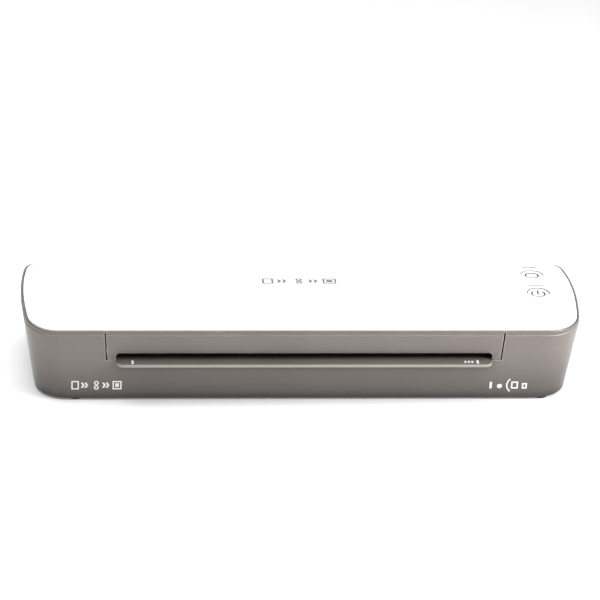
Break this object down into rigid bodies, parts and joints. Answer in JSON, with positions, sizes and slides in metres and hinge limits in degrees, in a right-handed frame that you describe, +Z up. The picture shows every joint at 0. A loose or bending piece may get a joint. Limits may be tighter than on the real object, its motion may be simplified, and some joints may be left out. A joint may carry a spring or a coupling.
{
  "type": "pouch laminator",
  "caption": "Desktop pouch laminator for A4 pouches: crowned white cover, warm grey tub, front entry slot with tray, power button, ready light, heated roller drive and rear exit slot.",
  "frame": {"origin": "middle of the body's bounding box, on the surface that the feet stand on", "axes": "+X along the entry slot towards the buttons, +Y from the entry slot to the rear exit slot, +Z up"},
  "size_m": [0.3706, 0.126, 0.0545],
  "materials": {
    "white_gloss": "polished white",
    "grey_shell": "satin warm grey",
    "grey_tray": "satin warm grey",
    "black_steel": "matt black",
    "red_light": "translucent red",
    "green_light": "translucent green",
    "black_rubber": "matt",
    "zinc_steel": "zinc plated",
    "bright_steel": "turned",
    "silicone": "smooth red-brown silicone",
    "acetal": "natural acetal",
    "bearing_plastic": "black bearing plastic",
    "heater_aluminium": "extruded",
    "heater_film": "amber film",
    "phenolic": "brown phenolic",
    "brass": "turned",
    "screw_steel": "zinc plated",
    "board_green": "solder mask",
    "terminal_green": "moulded",
    "capacitor_blue": "sleeved",
    "led_clear": "clear"
  },
  "bodies": {
    "housing": {"top_cover": "white_gloss", "ready_lens": "white_gloss", "lower_housing": "grey_shell", "front_visor": "grey_shell", "entry_tray": "grey_tray", "entry_guide": "black_steel", "exit_guide_lower": "black_steel", "exit_guide_upper": "black_steel", "ready_light_ring": "green_light", "foot_front_left": "black_rubber", "foot_front_right": "black_rubber", "foot_rear_left": "black_rubber", "foot_rear_right": "black_rubber", "cord_gland": "black_rubber", "side_frame_left": "zinc_steel", "side_frame_right": "zinc_steel", "motor_bracket": "zinc_steel", "tie_rods": "zinc_steel", "button_spring": "bright_steel", "pressure_springs": "bright_steel", "thermostat": "bright_steel", "thermal_fuse": "bright_steel", "gear_motor": "bright_steel", "lower_bushes": "bearing_plastic", "tact_switch": "bearing_plastic", "relay": "bearing_plastic", "lower_heater_plate": "heater_aluminium", "upper_heater_plate": "heater_aluminium", "lower_heater_element": "heater_film", "upper_heater_element": "heater_film", "heater_end_blocks": "phenolic", "motor_standoffs": "brass", "housing_screws": "screw_steel", "frame_screws": "screw_steel", "board_screws": "screw_steel", "motor_screws": "screw_steel", "visor_screws": "screw_steel", "control_board": "board_green", "terminal_block": "terminal_green", "capacitors": "capacitor_blue", "indicator_leds": "led_clear"},
    "upper_bearings": {"upper_bearings": "bearing_plastic"},
    "upper_roller": {"upper_roller_shaft": "bright_steel", "upper_roller_sleeve": "silicone", "upper_roller_gear": "acetal", "upper_roller_clips": "bright_steel"},
    "lower_roller": {"lower_roller_shaft": "bright_steel", "lower_roller_sleeve": "silicone", "lower_roller_gear": "acetal", "lower_roller_clips": "bright_steel"},
    "motor_drive": {"motor_shaft": "bright_steel", "motor_pinion": "acetal"},
    "power_button": {"power_button": "white_gloss", "power_light_ring": "red_light", "button_clip": "bright_steel"}
  },
  "joints": [
    {"name": "power_button_press", "type": "slide", "parent": "housing", "child": "power_button", "axis": [0, 0, -1], "range_m": [0, 0.0015], "stiffness_N_per_m": 400, "springref_m": -0.0005, "deforming": ["button_spring"]},
    {"name": "upper_roller_lift", "type": "slide", "parent": "housing", "child": "upper_bearings", "axis": [0, 0, 1], "range_m": [0, 0.0008], "stiffness_N_per_m": 6000, "springref_m": -0.002, "deforming": ["pressure_springs"]},
    {"name": "upper_roller_spin", "type": "hinge", "parent": "upper_bearings", "child": "upper_roller", "pos_m": [0, 0.005, 0.04], "axis": [1, 0, 0], "continuous": true},
    {"name": "lower_roller_spin", "type": "hinge", "parent": "housing", "child": "lower_roller", "pos_m": [0, 0.005, 0.024], "axis": [1, 0, 0], "continuous": true},
    {"name": "motor_spin", "type": "hinge", "parent": "housing", "child": "motor_drive", "pos_m": [0, 0.0197, 0.027], "axis": [1, 0, 0], "continuous": true}
  ],
  "couplings": [
    {"joint": "upper_roller_spin", "follows": "lower_roller_spin", "ratio": -1},
    {"joint": "motor_spin", "follows": "lower_roller_spin", "ratio": -1.1429}
  ]
}
